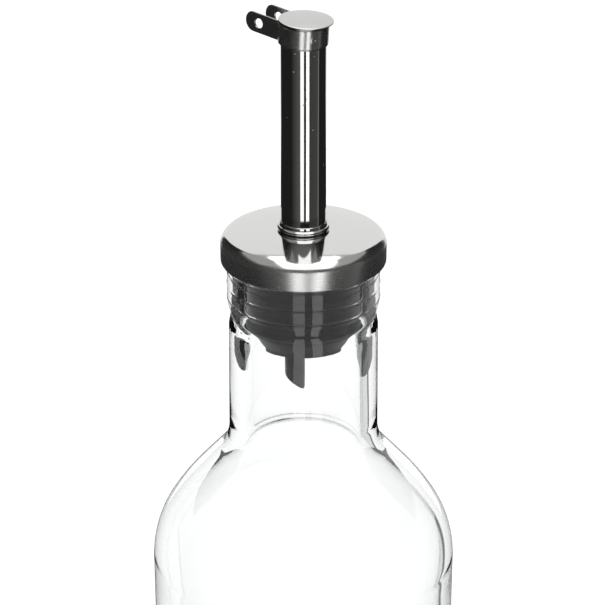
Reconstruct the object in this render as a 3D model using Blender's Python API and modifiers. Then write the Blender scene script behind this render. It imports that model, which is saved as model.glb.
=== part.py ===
"""Oil bottle: a round clear glass bottle, closed by a black stopper with a polished steel pourer.

Metres, +Z up. The origin is on the bottle's axis, at the level of the table it stands on. The closed
top's two hinge ears point to the left and back, which is -X and +Y. The cap sits a little askew on its tube.
"""
import math

import bmesh
import bpy
import numpy as np
from mathutils import Matrix, Vector

MM = 0.001

# Glass: driving sizes of the bottle's outside
BODY_RADIUS = 32.4 * MM
NECK_RADIUS = 15.65 * MM
NECK_TOP_RADIUS = 15.45 * MM
BEAD_RADIUS = 15.75 * MM
GROOVE_RADIUS = 14.9 * MM
LIP_CORNER = 0.9 * MM
BODY_STRAIGHT = 172.0 * MM
NECK_LENGTH = 37.4 * MM
BEAD_DEPTH = 8.6 * MM
GROOVE_DEPTH = 11.8 * MM
NECK_TOP_DEPTH = 14.2 * MM
LIP_RISE = 0.6 * MM

# The shoulder runs down from the neck as an arc, a straight cone, a shallow arc and a tight arc
FLARE_ROUND = 9.75 * MM
CROWN_ROUND = 57.0 * MM
EDGE_ROUND = 22.4 * MM
CONE_ANGLE = math.radians(41.3)
BREAK_ANGLE = math.radians(32.2)

# Glass: thickness, heel and push-up
BORE_RADIUS = 11.9 * MM
NECK_WALL = 3.4 * MM
BODY_WALL = 2.8 * MM
HEEL_ROUND = 5.0 * MM
INNER_HEEL_ROUND = 6.0 * MM
FOOT_RADIUS = 24.0 * MM
PUSH_UP = 2.5 * MM
FLOOR_THICKNESS = 6.0 * MM
FLOOR_CROWN = 2.0 * MM

# Gap between pieces that touch
FIT = 0.3 * MM

# Steel dome that covers the glass lip; heights are above the dome's lower edge
DOME_RADIUS = 17.0 * MM
DOME_SHEET = 0.6 * MM
SKIRT_HEIGHT = 3.7 * MM
SKIRT_ROUND = 2.2 * MM
DOME_SLOPE = math.radians(7.5)

# Spout tube, ferrule, and the closed cap with its ears
TUBE_RADIUS = 4.6 * MM
TUBE_WALL = 0.5 * MM
TUBE_FOOT = -9.0 * MM
TUBE_HIGH = 50.0 * MM
SWAGE_RADIUS = 4.3 * MM
FERRULE_RADIUS = 5.35 * MM
FERRULE_ROLL = 0.8 * MM
FERRULE_STEP = 0.15 * MM
FERRULE_HEIGHT = 1.5 * MM
FERRULE_LIFT = 0.2 * MM
SLEEVE_RADIUS = 5.05 * MM
SLEEVE_LOW = 46.1 * MM
SLEEVE_HIGH = 50.4 * MM
SLEEVE_CURL = 0.6 * MM
LID_RADIUS = 5.5 * MM
LID_RIM = 0.35 * MM
LID_CROWN = 0.45 * MM
LID_SHIFT = 0.5 * MM

EAR_AZIMUTH = math.radians(137.4)
EAR_SPACING = 5.7 * MM
EAR_SHEET = 0.7 * MM
EAR_HEIGHT = 4.1 * MM
EAR_REACH = 12.9 * MM
EAR_HOLE_REACH = 9.3 * MM
EAR_HOLE_RADIUS = 1.15 * MM
CAP_LEAN = math.radians(3.5)
CAP_PIVOT = 48.0 * MM

# Black stopper and its breather tube; depths are below the dome's lower edge
PLUG_RADIUS = 11.6 * MM
PLUG_TIP_RADIUS = 9.3 * MM
PLUG_DEPTH = 17.4 * MM
PLUG_RIBS = 4
RIB_DEPTH = 0.9 * MM
HEAD_RADIUS = 15.6 * MM
HEAD_THICKNESS = 2.0 * MM
POUR_BORE_RADIUS = 2.6 * MM
BREATHER_RADIUS = 2.0 * MM
BREATHER_BORE = 1.3 * MM
BREATHER_PLACE = (-1.7 * MM, -5.3 * MM)
BREATHER_SOCKET = 4.0 * MM
BREATHER_TIP_DEPTH = 26.4 * MM
BREATHER_SLANT = math.radians(40.0)

# Sides of the turned pieces
BODY_SIDES = 60
DOME_SIDES = 48
SMALL_SIDES = 32

FLARE_HEIGHT = FLARE_ROUND * math.sin(CONE_ANGLE)
CONE_LENGTH = (BODY_RADIUS - NECK_RADIUS - FLARE_ROUND * (1 - math.cos(CONE_ANGLE))
               - CROWN_ROUND * (math.cos(BREAK_ANGLE) - math.cos(CONE_ANGLE))
               - EDGE_ROUND * (1 - math.cos(BREAK_ANGLE))) / math.sin(CONE_ANGLE)
SHOULDER_HEIGHT = (FLARE_HEIGHT + CONE_LENGTH * math.cos(CONE_ANGLE)
                   + CROWN_ROUND * (math.sin(CONE_ANGLE) - math.sin(BREAK_ANGLE))
                   + EDGE_ROUND * math.sin(BREAK_ANGLE))
DOME_EDGE = BODY_STRAIGHT + SHOULDER_HEIGHT + NECK_LENGTH
LIP = DOME_EDGE + LIP_RISE
DOME_RUN = DOME_RADIUS - SKIRT_ROUND * (1 - math.sin(DOME_SLOPE))
DOME_CENTRE = SKIRT_HEIGHT + SKIRT_ROUND * math.cos(DOME_SLOPE) + math.tan(DOME_SLOPE) * DOME_RUN / 2


def clear_scene():
    for item in list(bpy.data.objects):
        bpy.data.objects.remove(item)


def collection(name):
    group = bpy.data.collections.new(name)
    bpy.context.scene.collection.children.link(group)
    return group


def finish(name, colour, roughness, metallic, transmission=0.0):
    made = bpy.data.materials.new(name)
    made.use_nodes = True
    shader = made.node_tree.nodes["Principled BSDF"]
    shader.inputs["Base Color"].default_value = (*colour, 1.0)
    shader.inputs["Roughness"].default_value = roughness
    shader.inputs["Metallic"].default_value = metallic
    shader.inputs["Transmission Weight"].default_value = transmission
    return made


def arc(centre, radius, start, end, count):
    """Points on a circle in the profile plane; angles are from +X towards +Z."""
    angle = np.linspace(start, end, count)
    return [(centre[0] + radius * math.cos(a), centre[1] + radius * math.sin(a)) for a in angle]


def turned(name, profile, sides, material, group, closed=False):
    """Turns a profile of (radius, height) points about the Z axis."""
    mesh = bpy.data.meshes.new(name)
    count = len(profile)
    edges = [(i, i + 1) for i in range(count - 1)]
    if closed:
        edges.append((count - 1, 0))
    mesh.from_pydata([(r, 0.0, z) for r, z in profile], edges, [])
    piece = bpy.data.objects.new(name, mesh)
    group.objects.link(piece)
    mesh.materials.append(material)
    screw = piece.modifiers.new("turn", "SCREW")
    screw.axis = "Z"
    screw.angle = 2 * math.pi
    screw.steps = sides
    screw.render_steps = sides
    screw.use_smooth_shade = True
    screw.use_merge_vertices = True
    screw.merge_threshold = 0.00001
    return piece


def evaluated_mesh(piece, group):
    """Replaces an object by one whose mesh has the modifiers or the curve worked in."""
    bpy.context.view_layer.update()
    graph = bpy.context.evaluated_depsgraph_get()
    mesh = bpy.data.meshes.new_from_object(piece.evaluated_get(graph))
    solid = bpy.data.objects.new(piece.name + "_solid", mesh)
    solid.matrix_world = piece.matrix_world.copy()
    group.objects.link(solid)
    name = piece.name
    bpy.data.objects.remove(piece)
    solid.name = name
    return solid


def boolean(piece, other, operation):
    step = piece.modifiers.new(operation.lower(), "BOOLEAN")
    step.operation = operation
    step.object = other
    step.solver = "EXACT"
    return step


def guide(piece, group):
    """Moves a cutter or a joined shape out of the model's own collection."""
    for owner in list(piece.users_collection):
        owner.objects.unlink(piece)
    group.objects.link(piece)
    piece.hide_render = True
    piece.display_type = "WIRE"


def shoulder_line(points_each):
    """Outside of the shoulder from the neck's foot down to the body: arc, cone, arc, arc.

    At an angle a from the vertical an arc of radius R adds R(1 - cos a) to the radius
    and R sin a to the drop.
    """
    top = DOME_EDGE - NECK_LENGTH
    line = []
    for a in np.linspace(0.0, CONE_ANGLE, points_each):
        line.append((NECK_RADIUS + FLARE_ROUND * (1 - math.cos(a)), top - FLARE_ROUND * math.sin(a)))
    crown_r = line[-1][0] + CONE_LENGTH * math.sin(CONE_ANGLE)
    crown_z = line[-1][1] - CONE_LENGTH * math.cos(CONE_ANGLE)
    for a in np.linspace(CONE_ANGLE, BREAK_ANGLE, 3):
        line.append((crown_r + CROWN_ROUND * (math.cos(a) - math.cos(CONE_ANGLE)),
                     crown_z - CROWN_ROUND * (math.sin(CONE_ANGLE) - math.sin(a))))
    edge_r, edge_z = line[-1]
    for a in np.linspace(BREAK_ANGLE, 0.0, points_each)[1:]:
        line.append((edge_r + EDGE_ROUND * (math.cos(a) - math.cos(BREAK_ANGLE)),
                     edge_z - EDGE_ROUND * (math.sin(BREAK_ANGLE) - math.sin(a))))
    return line


def inset(line, wall_top, wall_bottom):
    """Moves a line inwards along its normals, by a wall that changes evenly down the line."""
    points = np.array(line)
    step = np.gradient(points, axis=0)
    step /= np.linalg.norm(step, axis=1)[:, None]
    inward = np.stack([step[:, 1], -step[:, 0]], axis=1)
    wall = np.linspace(wall_top, wall_bottom, len(points))[:, None]
    return [tuple(p) for p in points + inward * wall]


def make_bottle(group):
    glass = finish("clear_glass", (0.97, 0.98, 0.98), 0.02, 0.0, 1.0)
    shoulder = shoulder_line(7)
    inner_shoulder = inset(shoulder, NECK_WALL, BODY_WALL)
    inner_radius = BODY_RADIUS - BODY_WALL
    floor_edge = FLOOR_THICKNESS - FLOOR_CROWN
    inner_heel_z = floor_edge + INNER_HEEL_ROUND
    inside = [(0.0, FLOOR_THICKNESS), ((inner_radius - INNER_HEEL_ROUND) / 2, FLOOR_THICKNESS - FLOOR_CROWN / 4)]
    inside += arc((inner_radius - INNER_HEEL_ROUND, inner_heel_z), INNER_HEEL_ROUND, -math.pi / 2, 0.0, 5)
    inside += inner_shoulder[::-1]
    inside.append((BORE_RADIUS, DOME_EDGE - NECK_TOP_DEPTH))
    inside.append((BORE_RADIUS, LIP - LIP_CORNER / 2))
    lip = [(BORE_RADIUS + LIP_CORNER / 2, LIP)]
    lip += arc((BEAD_RADIUS - LIP_CORNER, LIP - LIP_CORNER), LIP_CORNER, math.pi / 2, 0.0, 3)
    outside = [
        (BEAD_RADIUS, DOME_EDGE - BEAD_DEPTH),
        (BEAD_RADIUS - 0.35 * MM, DOME_EDGE - BEAD_DEPTH - 1.6 * MM),
        (GROOVE_RADIUS, DOME_EDGE - GROOVE_DEPTH),
        (NECK_TOP_RADIUS, DOME_EDGE - NECK_TOP_DEPTH),
    ]
    outside += shoulder
    outside += arc((BODY_RADIUS - HEEL_ROUND, HEEL_ROUND), HEEL_ROUND, 0.0, -math.pi / 2, 5)
    outside += [(FOOT_RADIUS, 0.0), (FOOT_RADIUS * 0.7, PUSH_UP * 0.55), (0.0, PUSH_UP)]
    return turned("bottle", inside + lip + outside, BODY_SIDES, glass, group)


def plug_line():
    """Ribbed outside of the plug from its top down: the ribs and the roots both taper to the tip."""
    line = []
    pitch = PLUG_DEPTH / (PLUG_RIBS + 0.5)
    for rib in range(PLUG_RIBS):
        share = rib / PLUG_RIBS
        crest = PLUG_RADIUS + (PLUG_TIP_RADIUS - PLUG_RADIUS) * share**2
        top = DOME_EDGE - pitch * rib - 0.4 * pitch
        line += [(crest - RIB_DEPTH, top), (crest, top - 0.35 * pitch), (crest, top - 0.6 * pitch),
                 (crest - RIB_DEPTH, top - 0.85 * pitch)]
    line += [(PLUG_TIP_RADIUS, DOME_EDGE - PLUG_DEPTH + 1.0 * MM), (PLUG_TIP_RADIUS - 0.6 * MM, DOME_EDGE - PLUG_DEPTH)]
    return line


def make_stopper(group, cutters):
    rubber = finish("black_synthetic", (0.012, 0.012, 0.013), 0.35, 0.0)
    head_low = LIP + FIT
    head_high = head_low + HEAD_THICKNESS
    tube_hole = TUBE_RADIUS + FIT
    ledge = DOME_EDGE + TUBE_FOOT - FIT
    profile = [(tube_hole, head_high), (HEAD_RADIUS - 0.5 * MM, head_high), (HEAD_RADIUS, head_high - 0.5 * MM),
               (HEAD_RADIUS, head_low), (PLUG_RADIUS - RIB_DEPTH, head_low)]
    profile += plug_line()
    profile += [(POUR_BORE_RADIUS, DOME_EDGE - PLUG_DEPTH), (POUR_BORE_RADIUS, ledge), (tube_hole, ledge)]
    stopper = turned("stopper", profile, DOME_SIDES, rubber, group, closed=True)
    bpy.ops.mesh.primitive_cylinder_add(vertices=SMALL_SIDES // 2, radius=BREATHER_RADIUS + FIT,
                                        depth=2 * BREATHER_SOCKET)
    socket = bpy.context.object
    socket.name = "breather_socket_cutter"
    socket.location = (*BREATHER_PLACE, DOME_EDGE - PLUG_DEPTH)
    guide(socket, cutters)
    boolean(stopper, socket, "DIFFERENCE")
    return stopper


def make_breather(group, cutters):
    plastic = finish("black_plastic", (0.012, 0.012, 0.013), 0.3, 0.0)
    high = DOME_EDGE - PLUG_DEPTH + BREATHER_SOCKET - FIT
    low = DOME_EDGE - BREATHER_TIP_DEPTH
    profile = [(BREATHER_RADIUS, high), (BREATHER_RADIUS, low), (BREATHER_BORE, low), (BREATHER_BORE, high)]
    breather = turned("breather_tube", profile, SMALL_SIDES // 2, plastic, group, closed=True)
    breather.location = (*BREATHER_PLACE, 0.0)
    block = 6 * BREATHER_RADIUS
    bpy.ops.mesh.primitive_cube_add(size=block)
    cutter = bpy.context.object
    cutter.name = "breather_tip_cutter"
    cutter.rotation_euler = (0.0, BREATHER_SLANT, 0.0)
    reach = block / 2
    tip_x = BREATHER_PLACE[0] + BREATHER_RADIUS
    cutter.location = (tip_x - reach * math.sin(BREATHER_SLANT), BREATHER_PLACE[1],
                       low - reach * math.cos(BREATHER_SLANT))
    guide(cutter, cutters)
    boolean(breather, cutter, "DIFFERENCE")
    return breather


def dome_line(radius, corner, hole):
    """A dome's line from its hole down to its edge: a shallow curve, a rounded corner, a skirt.

    The curve is a parabola that falls away from the middle and meets the corner's arc at its slope.
    """
    run = radius - corner * (1 - math.sin(DOME_SLOPE))
    join = DOME_EDGE + SKIRT_HEIGHT + corner * math.cos(DOME_SLOPE)
    rise = math.tan(DOME_SLOPE) * run / 2
    line = []
    for share in (0.0, 0.4, 0.75):
        r = hole + (run - hole) * share
        line.append((r, join + rise * (1 - (r / run) ** 2)))
    line += arc((radius - corner, DOME_EDGE + SKIRT_HEIGHT), corner, math.pi / 2 - DOME_SLOPE, 0.0, 6)
    line.append((radius, DOME_EDGE))
    return line


def make_dome(group):
    steel = finish("polished_steel", (0.62, 0.62, 0.61), 0.12, 1.0)
    hole = TUBE_RADIUS + FIT
    outer = dome_line(DOME_RADIUS, SKIRT_ROUND, hole)
    inner = dome_line(DOME_RADIUS - DOME_SHEET, SKIRT_ROUND - DOME_SHEET, hole)
    return turned("dome", outer + inner[::-1], DOME_SIDES, steel, group, closed=True)


def make_ferrule(group):
    steel = finish("rolled_steel", (0.6, 0.6, 0.59), 0.14, 1.0)
    low = DOME_EDGE + DOME_CENTRE + FERRULE_LIFT
    high = low + FERRULE_HEIGHT
    hole = TUBE_RADIUS + FIT
    roll = FERRULE_ROLL / 2
    profile = [(hole, high), (hole + FERRULE_STEP, high), (hole + FERRULE_STEP, low + FERRULE_ROLL + FERRULE_STEP / 3)]
    profile += arc((FERRULE_RADIUS - roll, low + roll), roll, math.radians(60), -math.pi / 2, 7)
    profile.append((hole, low))
    return turned("ferrule", profile, SMALL_SIDES, steel, group, closed=True)


def make_tube(group):
    steel = finish("drawn_steel", (0.6, 0.6, 0.59), 0.14, 1.0)
    foot = DOME_EDGE + TUBE_FOOT
    step = DOME_EDGE + SLEEVE_LOW - FIT - SLEEVE_RADIUS * math.sin(CAP_LEAN)
    top = DOME_EDGE + TUBE_HIGH
    bore = TUBE_RADIUS - TUBE_WALL
    throat = SWAGE_RADIUS - TUBE_WALL
    profile = [(throat, top), (SWAGE_RADIUS, top), (SWAGE_RADIUS, step), (TUBE_RADIUS, step - 0.4 * MM),
               (TUBE_RADIUS, foot), (bore, foot), (bore, step - 0.4 * MM), (throat, step)]
    return turned("spout_tube", profile, SMALL_SIDES, steel, group, closed=True)


def lean(piece):
    """Leans a piece of the cap about a level axis that runs across the ears, which puts the ears higher."""
    ears = Vector((math.cos(EAR_AZIMUTH), math.sin(EAR_AZIMUTH), 0.0))
    pivot = Matrix.Translation((0.0, 0.0, DOME_EDGE + CAP_PIVOT))
    turn = Matrix.Rotation(CAP_LEAN, 4, ears.cross(Vector((0.0, 0.0, 1.0))))
    bpy.context.view_layer.update()
    piece.matrix_world = pivot @ turn @ pivot.inverted() @ piece.matrix_world


def ear_plate(name, side, group):
    """One ear: a flat strip with a round end and a round hole, standing on edge beside the tube's axis."""
    half = EAR_HEIGHT / 2
    curve = bpy.data.curves.new(name, "CURVE")
    curve.dimensions = "2D"
    curve.fill_mode = "BOTH"
    curve.extrude = EAR_SHEET / 2
    root = math.sqrt(SLEEVE_RADIUS**2 - (EAR_SPACING / 2) ** 2) - 0.35 * MM
    outline = [(root, -half)]
    outline += arc((EAR_REACH - half, 0.0), half, -math.pi / 2, math.pi / 2, 13)
    outline.append((root, half))
    hole = arc((EAR_HOLE_REACH, 0.0), EAR_HOLE_RADIUS, 0.0, 2 * math.pi, 17)[:-1]
    for ring in (outline, hole):
        spline = curve.splines.new("POLY")
        spline.points.add(len(ring) - 1)
        for point, (x, y) in zip(spline.points, ring):
            point.co = (x, y, 0.0, 1.0)
        spline.use_cyclic_u = True
    plate = bpy.data.objects.new(name, curve)
    group.objects.link(plate)
    plate.rotation_euler = (math.pi / 2, 0.0, EAR_AZIMUTH)
    across = side * EAR_SPACING / 2
    plate.location = (-across * math.sin(EAR_AZIMUTH), across * math.cos(EAR_AZIMUTH),
                      DOME_EDGE + SLEEVE_HIGH - half)
    return plate


def make_sleeve(group, cutters):
    steel = finish("pressed_steel", (0.6, 0.6, 0.59), 0.16, 1.0)
    low = DOME_EDGE + SLEEVE_LOW
    high = DOME_EDGE + SLEEVE_HIGH
    inside = SWAGE_RADIUS + FIT
    curl = arc((SLEEVE_RADIUS - SLEEVE_CURL, low + SLEEVE_CURL), SLEEVE_CURL, 0.0, -math.radians(65), 4)
    profile = [(inside, high), (SLEEVE_RADIUS, high)] + curl + [(inside, low + 0.02 * MM)]
    sleeve = turned("cap_sleeve", profile, SMALL_SIDES, steel, group, closed=True)
    lean(sleeve)
    for side, name in ((1, "near_ear"), (-1, "far_ear")):
        plate = evaluated_mesh(ear_plate(name, side, group), group)
        weld(plate)
        lean(plate)
        guide(plate, cutters)
        boolean(sleeve, plate, "UNION")
    return sleeve


def weld(piece):
    """Joins a filled curve's loose caps to its sides."""
    cells = bmesh.new()
    cells.from_mesh(piece.data)
    bmesh.ops.remove_doubles(cells, verts=cells.verts, dist=0.000001)
    cells.to_mesh(piece.data)
    cells.free()


def make_lid(group):
    steel = finish("pressed_steel_lid", (0.66, 0.66, 0.65), 0.16, 1.0)
    low = DOME_EDGE + SLEEVE_HIGH + FIT
    rim = low + LID_RIM
    profile = [(0.0, rim + LID_CROWN)]
    for share in (0.4, 0.75, 0.94):
        profile.append((LID_RADIUS * share, rim + LID_CROWN * (1 - share**2)))
    profile += [(LID_RADIUS, rim - 0.1 * MM), (LID_RADIUS - 0.1 * MM, low), (0.0, low)]
    lid = turned("lid", profile, SMALL_SIDES + 8, steel, group)
    lid.location = (-LID_SHIFT * math.cos(EAR_AZIMUTH), -LID_SHIFT * math.sin(EAR_AZIMUTH), 0.0)
    lean(lid)
    return lid


clear_scene()
model = collection("oil_bottle")
tools = collection("cutters")
make_bottle(model)
make_stopper(model, tools)
make_breather(model, tools)
make_dome(model)
make_ferrule(model)
make_tube(model)
make_sleeve(model, tools)
make_lid(model)
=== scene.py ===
"""A round glass oil bottle with a black stopper and a polished steel pourer, in a white studio."""
import math

import bmesh
import bpy
import numpy as np
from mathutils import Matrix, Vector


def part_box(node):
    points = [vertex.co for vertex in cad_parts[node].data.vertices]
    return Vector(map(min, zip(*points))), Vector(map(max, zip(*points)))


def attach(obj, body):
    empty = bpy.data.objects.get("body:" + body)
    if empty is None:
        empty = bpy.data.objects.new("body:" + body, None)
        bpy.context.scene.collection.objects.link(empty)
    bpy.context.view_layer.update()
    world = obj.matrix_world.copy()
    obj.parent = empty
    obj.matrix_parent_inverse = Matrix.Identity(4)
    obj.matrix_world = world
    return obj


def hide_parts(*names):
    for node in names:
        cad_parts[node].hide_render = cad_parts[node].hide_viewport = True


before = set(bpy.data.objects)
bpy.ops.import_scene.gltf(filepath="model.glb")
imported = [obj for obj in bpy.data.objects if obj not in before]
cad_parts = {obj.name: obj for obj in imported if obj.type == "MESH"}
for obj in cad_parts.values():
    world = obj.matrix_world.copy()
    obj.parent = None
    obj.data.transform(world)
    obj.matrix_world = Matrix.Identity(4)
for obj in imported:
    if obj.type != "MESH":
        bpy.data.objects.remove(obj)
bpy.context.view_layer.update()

MM = 0.001

# The stage: a white floor under soft light from all round, as in a light tent. Polished metal mirrors a
# room instead: dark walls, a grey ceiling, the lit backdrop, a long softbox overhead with a dimmer field
# round it, and two window panes in front. Clear glass bends the white backdrop and two small dark flags.
FLOOR_SIZE = 6.0
FLOOR_WHITE = "#F8F8F8"
SAME_POINT = 0.0001 * MM
BACKDROP_AWAY = 0.9
BACKDROP_LIGHT = 0.95
SOFTBOX_HIGH = 0.55
SOFTBOX_LIGHT = 2.0
FIELD_LIFT = 1.05
FIELD_LIGHT = 0.4
PANEL_AWAY = 0.9
FLAG_AWAY = 0.06


def linear(code):
    """sRGB hex colour to the linear values that shaders take: c / 12.92 where the colour is dark, and
    ((c + 0.055) / 1.055) to the power of 2.4 above that."""
    share = np.array([int(code[i:i + 2], 16) for i in (1, 3, 5)]) / 255
    bright = ((share + 0.055) / 1.055) ** 2.4
    return [float(c) for c in np.where(share <= 0.04045, share / 12.92, bright)] + [1.0]


def add(tree, kind, links=None, **settings):
    """Adds one node. Links maps an input's name or number to a value or to another node's output."""
    made = tree.nodes.new(kind)
    for name, value in settings.items():
        setattr(made, name, value)
    for name, value in (links or {}).items():
        if isinstance(value, bpy.types.NodeSocket):
            tree.links.new(value, made.inputs[name])
        else:
            made.inputs[name].default_value = value
    return made


def blank_material(name):
    """A new material without nodes, and its node tree."""
    made = bpy.data.materials.new(name)
    made.use_nodes = True
    made.node_tree.nodes.clear()
    return made, made.node_tree


def surface(name, grid, close_rows=False, close_columns=False):
    """Puts a grid of points into a mesh of quads; rows and columns may close on themselves.

    With the rows running down a turned shape's outside and the columns turning anticlockwise
    seen from above, the faces point outwards. Equal points, as at a pole, are made one.
    """
    rows, columns = grid.shape[:2]
    down = np.arange(rows if close_rows else rows - 1)
    across = np.arange(columns if close_columns else columns - 1)
    i, j = np.meshgrid(down, across, indexing="ij")
    i2, j2 = (i + 1) % rows, (j + 1) % columns
    quads = np.stack([i * columns + j, i2 * columns + j, i2 * columns + j2, i * columns + j2], -1)
    mesh = bpy.data.meshes.new(name)
    mesh.from_pydata(grid.reshape(-1, 3), [], quads.reshape(-1, 4))
    cells = bmesh.new()
    cells.from_mesh(mesh)
    bmesh.ops.remove_doubles(cells, verts=cells.verts, dist=SAME_POINT)
    bmesh.ops.dissolve_degenerate(cells, edges=cells.edges, dist=SAME_POINT)
    cells.to_mesh(mesh)
    cells.free()
    mesh.shade_smooth()
    piece = bpy.data.objects.new(name, mesh)
    bpy.context.scene.collection.objects.link(piece)
    return piece


def panel(name, grid, light, mirrored=True):
    """A glowing studio panel that only mirror reflections see, or only rays bent by glass.

    Light is its strength at the left and at the right edge of the grid. Between them it is blended by
    the share of the way across, the dot product of the place with a vector along the edge.
    """
    plane = surface(name, grid)
    left, right = grid[-1, 0], grid[-1, -1]
    across = (right - left) / np.sum((right - left) ** 2)
    start = float(np.dot(left, across))
    glowing, tree = blank_material(name + "_light")
    where = add(tree, "ShaderNodeTexCoord")
    share = add(tree, "ShaderNodeVectorMath", {0: where.outputs["Object"], 1: tuple(across)},
                operation="DOT_PRODUCT")
    level = add(tree, "ShaderNodeMapRange", {
        "Value": share.outputs["Value"], "From Min": start, "From Max": start + 1,
        "To Min": light[0], "To Max": light[1]})
    glow = add(tree, "ShaderNodeEmission", {"Strength": level.outputs[0]})
    add(tree, "ShaderNodeOutputMaterial", {"Surface": glow.outputs[0]})
    plane.data.materials.append(glowing)
    plane.visible_camera = False
    plane.visible_diffuse = False
    plane.visible_shadow = False
    plane.visible_glossy = mirrored
    plane.visible_transmission = not mirrored


def upright(left, right, low, high, distance):
    """Corners of an upright panel round the dome's edge: x = d sin a, y = -d cos a and z = d tan e over
    the edge, for azimuths a from the camera's side towards the right and elevations e, in degrees."""
    a = np.radians([left, right])
    e = np.radians([[high], [low]])
    flat = np.stack([np.sin(a), -np.cos(a)], -1) * distance
    z = DOME_EDGE + distance * np.tan(e)
    return np.stack([flat[:, 0] + 0 * z, flat[:, 1] + 0 * z, z + 0 * a], -1)


def overhead(rows, lift):
    """Corners of a level panel over the dome. Each row is a place along Y and the two sides there, in
    shares of the softbox's height, and lift is the panel's own height in such shares."""
    along, sides = rows[:, :1] * SOFTBOX_HIGH, rows[:, 1:] * SOFTBOX_HIGH
    return np.stack([sides, along + 0 * sides, DOME_EDGE + lift * SOFTBOX_HIGH + 0 * sides], -1)


dome_low, dome_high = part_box("dome")
DOME_EDGE = dome_low.z

half = FLOOR_SIZE / 2
corners = np.array([[[-half, -half, 0], [half, -half, 0]], [[-half, half, 0], [half, half, 0]]], float)
floor = surface("studio_floor", corners[::-1])
matt, tree = blank_material("pale_matt_paper")
paper = add(tree, "ShaderNodeBsdfDiffuse", {"Color": linear(FLOOR_WHITE)})
add(tree, "ShaderNodeOutputMaterial", {"Surface": paper.outputs[0]})
floor.data.materials.append(matt)
floor.visible_glossy = False
floor.visible_transmission = False

# The backdrop is arched: each row is a height over the dome's edge and the two sides there. The softbox
# widens from the back to the front, and the dim field lies just over it, so that the softbox covers it.
BACKDROP_ROWS = np.array([[0.8, -0.2, 0.22], [0.7, -0.34, 0.4], [0.58, -0.44, 0.54], [0.3, -0.48, 0.6],
                          [-0.35, -0.48, 0.6]])
SOFTBOX_ROWS = np.array([[1.14, -0.17, 0.18], [0.6, -0.21, 0.24], [0.0, -0.34, 0.46], [-0.6, -0.46, 0.72],
                         [-1.1, -0.6, 0.95]])
FIELD_ROWS = np.array([[1.25, -0.35, 0.4], [0.75, -0.8, 0.85], [-0.6, -1.4, 1.5]])
sides = BACKDROP_ROWS[:, 1:]
arch = np.stack([sides, BACKDROP_AWAY + 0 * sides, DOME_EDGE + BACKDROP_ROWS[:, :1] + 0 * sides], -1)
panel("lit_backdrop", arch, (BACKDROP_LIGHT, BACKDROP_LIGHT))
panel("softbox_overhead", overhead(SOFTBOX_ROWS, 1.0), (SOFTBOX_LIGHT, SOFTBOX_LIGHT))
panel("dim_ceiling_round_it", overhead(FIELD_ROWS, FIELD_LIFT), (FIELD_LIGHT, FIELD_LIGHT))

# Upright panels: azimuth of the left and right side, low and high elevation, all in degrees, and then
# the light at the left and at the right side
MIRRORED_PANELS = {
    "left_window_pane": ((-15.5, 2.0, -52, 4), (1.6, 1.6)),
    "right_window_pane": ((13.0, 28.5, -52, 4), (1.8, 1.8)),
    "dim_left_wall": ((-62, -16, -50, 20), (0.02, 0.13)),
    "dim_right_wall": ((29, 76, -50, 20), (0.06, 0.075)),
    "right_door_edge": ((76, 83, -50, 20), (0.2, 0.2))}
FLAGS = {
    "left_flag": ((-145, -100, -38, -6), (0.02, 0.02)),
    "right_flag": ((100, 145, -39, -6), (0.04, 0.2))}
for name, (place, light) in MIRRORED_PANELS.items():
    panel(name, upright(*place, PANEL_AWAY), light)
for name, (place, light) in FLAGS.items():
    panel(name, upright(*place, FLAG_AWAY), light, mirrored=False)

# Seen through the glass the world is white behind the bottle, with a dark gap at the backdrop's right
# side, and dimmer at the sides. Stops are degrees off +Y, where the backdrop stands, and the share of
# white. Mirrored, the world is the room's ceiling, which comes down lower in front than at the back.
TENT_WHITE = 1.6
BACKDROP_WHITE = 1.45
BACKDROP_STOPS = ((-78, 0.6), (-62, 1.0), (36, 1.0), (38, 0.1), (41, 0.1), (43, 0.7), (62, 0.6), (75, 0.6))
ROOM_DARK = 0.022
CEILING_GREY = 0.27
CEILING_TIP = 0.2
CEILING_FROM = 0.48
CEILING_TO = 0.76

world = bpy.data.worlds.new("light_tent")
bpy.context.scene.world = world
world.use_nodes = True
tree = world.node_tree
tree.nodes.clear()
path = add(tree, "ShaderNodeLightPath")
where = add(tree, "ShaderNodeTexCoord")
parts = add(tree, "ShaderNodeSeparateXYZ", {0: where.outputs["Generated"]})
turned = add(tree, "ShaderNodeMath", {0: parts.outputs["X"], 1: parts.outputs["Y"]}, operation="ARCTAN2")
degrees = add(tree, "ShaderNodeMath", {0: turned.outputs[0], 1: 180 / math.pi}, operation="MULTIPLY")
share = add(tree, "ShaderNodeMapRange", {"Value": degrees.outputs[0], "From Min": -180, "From Max": 180})
stops = add(tree, "ShaderNodeValToRGB", {"Fac": share.outputs[0]})
for place, white in BACKDROP_STOPS[1:-1]:
    stops.color_ramp.elements.new((place + 180) / 360)
for stop, (place, white) in zip(stops.color_ramp.elements, BACKDROP_STOPS):
    stop.position = (place + 180) / 360
    stop.color = (white, white, white, 1.0)
backdrop = add(tree, "ShaderNodeMath", {0: stops.outputs["Color"], 1: BACKDROP_WHITE}, operation="MULTIPLY")
tipped = add(tree, "ShaderNodeMath", {0: parts.outputs["Y"], 1: -CEILING_TIP, 2: parts.outputs["Z"]},
             operation="MULTIPLY_ADD")
ceiling = add(tree, "ShaderNodeMapRange", {
    "Value": tipped.outputs[0], "From Min": CEILING_FROM, "From Max": CEILING_TO,
    "To Min": ROOM_DARK, "To Max": CEILING_GREY}, interpolation_type="SMOOTHSTEP")
room = add(tree, "ShaderNodeMix", {
    "Factor": path.outputs["Is Glossy Ray"], "A": TENT_WHITE, "B": ceiling.outputs[0]})
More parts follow.
